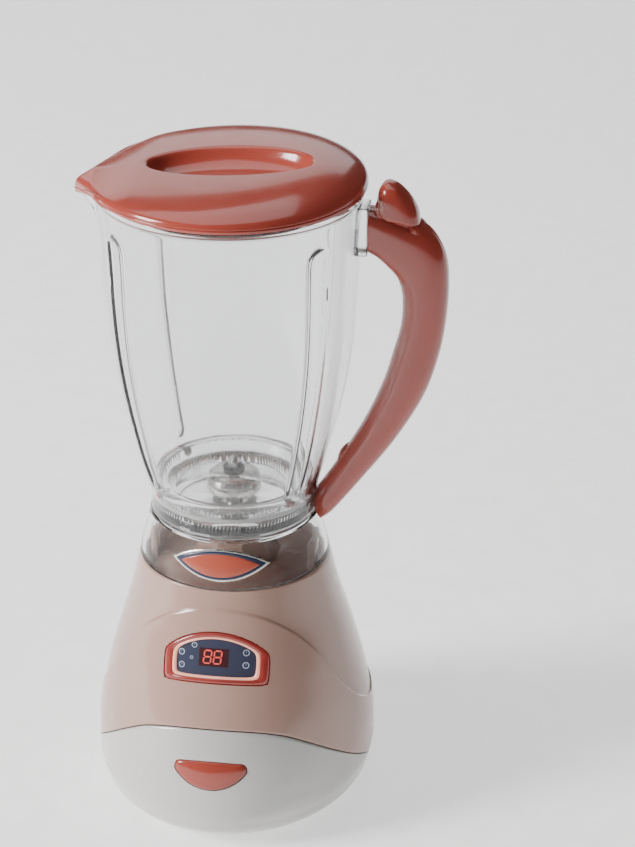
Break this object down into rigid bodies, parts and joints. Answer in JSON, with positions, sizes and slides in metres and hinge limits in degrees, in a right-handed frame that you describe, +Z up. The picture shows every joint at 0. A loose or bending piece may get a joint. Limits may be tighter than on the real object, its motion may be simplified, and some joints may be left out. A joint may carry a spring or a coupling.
{
  "type": "toy blender",
  "caption": "Toy blender: a clear fluted jar with coral lid and handle, spinning blades, on a two-tone oval base with a display window and a start button.",
  "frame": {"origin": "on the blade axis, on the surface that the four feet stand on", "axes": "+Z up along the blade axis, -Y towards the display and start button, +X towards the handle, -X towards the pouring spout"},
  "size_m": [0.1534, 0.1383, 0.2877],
  "materials": {
    "pink_shell": "glossy moulded plastic",
    "white_shell": "glossy moulded plastic",
    "foot_rubber": "matt soft rubber",
    "steel": "plated screws, pins and shafts",
    "cell_wrap": "shrink-wrapped cell, left plain",
    "inner_plastic": "moulded inner frame",
    "spring_steel": "nickel-plated spring wire",
    "motor_steel": "zinc-plated can",
    "bushing_plastic": "natural acetal",
    "display_clear": "clear tinted moulding over the display",
    "panel_dark": "smoked blue-grey window",
    "led_red": "red display block",
    "board_green": "circuit board",
    "switch_black": "black moulded plastic",
    "coral": "glossy coral plastic",
    "jar_clear": "clear moulded plastic",
    "badge_coral": "coral plate with a navy rim, left bare",
    "seal_rubber": "pale silicone seal",
    "pin_pink": "moulded pins",
    "blade_silver": "silver-plated plastic hub",
    "blade_clear": "clear moulded wings"
  },
  "bodies": {
    "base": {"base_upper": "pink_shell", "base_lower": "white_shell", "feet": "foot_rubber", "base_screws": "steel", "batteries": "cell_wrap", "battery_box": "inner_plastic", "battery_contacts": "spring_steel", "battery_door": "white_shell", "door_screw": "steel", "motor_can": "motor_steel", "motor_cradle": "inner_plastic", "cradle_screws": "steel", "hub_bushing": "bushing_plastic", "display_frame": "display_clear", "display_panel": "panel_dark", "led_module": "led_red", "circuit_board": "board_green", "push_switch": "switch_black", "button_spring": "spring_steel"},
    "button": {"start_button": "coral", "switch_plunger": "inner_plastic"},
    "drive": {"motor_shaft": "steel", "drive_spindle": "bushing_plastic"},
    "jar": {"jar": "jar_clear", "jar_collar": "jar_clear", "badge": "badge_coral", "blade_seat": "jar_clear", "jar_gasket": "seal_rubber", "seat_pins": "pin_pink", "shaft_bushing": "bushing_plastic", "shaft_seal": "seal_rubber", "handle_front": "coral", "handle_back": "coral", "handle_screws": "steel", "thumb_pin": "steel", "thumb_spring": "spring_steel"},
    "blade": {"driven_coupling": "bushing_plastic", "blade_shaft": "steel", "blade_hub": "blade_silver", "blade_wings": "blade_clear", "blade_washer": "switch_black", "blade_nut": "steel"},
    "lid": {"lid_shell": "coral", "lid_seal": "seal_rubber"},
    "thumb": {"thumb_lever": "coral"}
  },
  "joints": [
    {"name": "jar_lift", "type": "slide", "parent": "base", "child": "jar", "axis": [0, 0, 1], "range_m": [0, 0.06]},
    {"name": "lid_lift", "type": "slide", "parent": "jar", "child": "lid", "axis": [0, 0, 1], "range_m": [0, 0.04]},
    {"name": "button_press", "type": "slide", "parent": "base", "child": "button", "axis": [0, 1, 0], "range_m": [0, 0.002], "stiffness_N_per_m": 400, "springref_m": -0.0005, "deforming": ["button_spring"]},
    {"name": "thumb_tilt", "type": "hinge", "parent": "jar", "child": "thumb", "pos_m": [0.0705, 0, 0.2546], "axis": [0, 1, 0], "range_deg": [0, 4], "stiffness_Nm_per_rad": 0.5, "springref_deg": -1.72},
    {"name": "blade_spin", "type": "hinge", "parent": "jar", "child": "blade", "pos_m": [0, 0, 0.14], "axis": [0, 0, 1], "continuous": true},
    {"name": "drive_spin", "type": "hinge", "parent": "base", "child": "drive", "pos_m": [0, 0, 0.11], "axis": [0, 0, 1], "continuous": true}
  ],
  "couplings": [
    {"joint": "drive_spin", "follows": "blade_spin", "ratio": 1}
  ]
}
